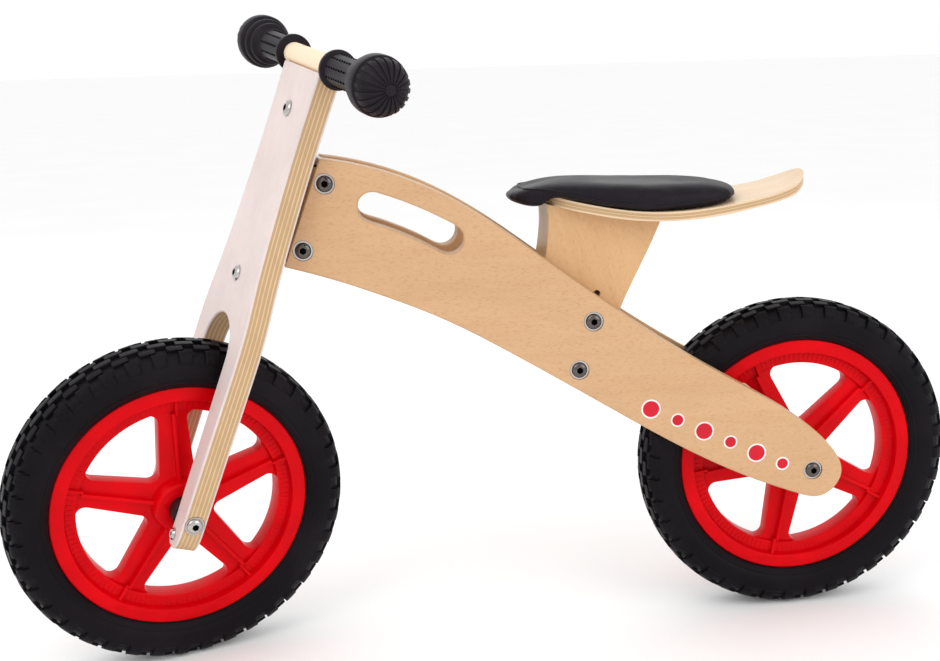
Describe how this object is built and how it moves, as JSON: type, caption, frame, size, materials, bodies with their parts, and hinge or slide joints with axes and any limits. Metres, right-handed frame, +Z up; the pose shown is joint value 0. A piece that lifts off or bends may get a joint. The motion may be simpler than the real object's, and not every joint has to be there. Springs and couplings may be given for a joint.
{
  "type": "balance bike",
  "caption": "Wooden balance bike without pedals: steerable board fork, splayed plywood side plates with a grab slot, cushioned seat, foam-tyred spoked wheels and rubber grips.",
  "frame": {"origin": "on the ground, straight under the rear axle, in the middle of the bike's width", "axes": "+X forward along the bike, +Y to the rider's left, +Z up"},
  "size_m": [0.872, 0.3197, 0.5676],
  "materials": {
    "plywood_frame": "birch plywood with clear matt lacquer",
    "plywood_fork": "birch plywood with clear matt lacquer",
    "plywood_seat": "birch plywood with clear matt lacquer",
    "beech": "turned beech with clear lacquer",
    "red_plastic": "moulded red plastic, satin gloss",
    "foam_tyre": "black foam rubber",
    "black_rubber": "black moulded rubber",
    "black_plastic": "black nylon",
    "black_leatherette": "black grained leatherette over foam",
    "bright_steel": "bright zinc plated steel",
    "plated_steel": "zinc plated steel"
  },
  "bodies": {
    "frame": {"side_plate_left": "plywood_frame", "side_plate_right": "plywood_frame", "head_block": "plywood_frame", "head_bushes": "black_plastic", "head_bolts": "bright_steel", "post_bolts": "bright_steel", "frame_washers": "bright_steel", "frame_nuts": "bright_steel", "seat_post": "plywood_frame", "seat_board": "plywood_seat", "seat_cushion": "black_leatherette", "seat_screws": "plated_steel", "rear_axle_bolt": "bright_steel", "rear_axle_washers": "bright_steel", "rear_axle_nut": "bright_steel", "rear_axle_sleeve": "plated_steel", "rear_spacers": "black_plastic", "inner_pegs": "beech"},
    "fork": {"fork_board": "plywood_fork", "fork_bracket": "plated_steel", "bracket_bolts": "bright_steel", "bracket_nuts": "bright_steel", "steering_pin": "plated_steel", "steering_pin_nut": "plated_steel", "steering_washers": "plated_steel", "front_axle_bolt": "bright_steel", "front_axle_washers": "bright_steel", "front_axle_nut": "bright_steel", "front_axle_sleeve": "plated_steel", "front_spacers": "black_plastic", "leg_screws": "bright_steel", "handlebar": "beech", "bar_screws": "plated_steel", "grip_left": "black_rubber", "grip_right": "black_rubber"},
    "rear_wheel": {"rear_rim": "red_plastic", "rear_spokes": "red_plastic", "rear_tyre": "foam_tyre", "rear_bearings": "plated_steel"},
    "front_wheel": {"front_rim": "red_plastic", "front_spokes": "red_plastic", "front_tyre": "foam_tyre", "front_bearings": "plated_steel"}
  },
  "joints": [
    {"name": "steering", "type": "hinge", "parent": "frame", "child": "fork", "pos_m": [0.45183, 0, 0.40344], "axis": [-0.3649, 0, 0.9311], "range_deg": [-55, 15]},
    {"name": "front_wheel_spin", "type": "hinge", "parent": "fork", "child": "front_wheel", "pos_m": [0.5766, 0.00855, 0.14945], "axis": [-0.3184, 0.9397, -0.1248], "continuous": true},
    {"name": "rear_wheel_spin", "type": "hinge", "parent": "frame", "child": "rear_wheel", "pos_m": [0, 0, 0.15], "axis": [0, 1, 0], "continuous": true}
  ]
}
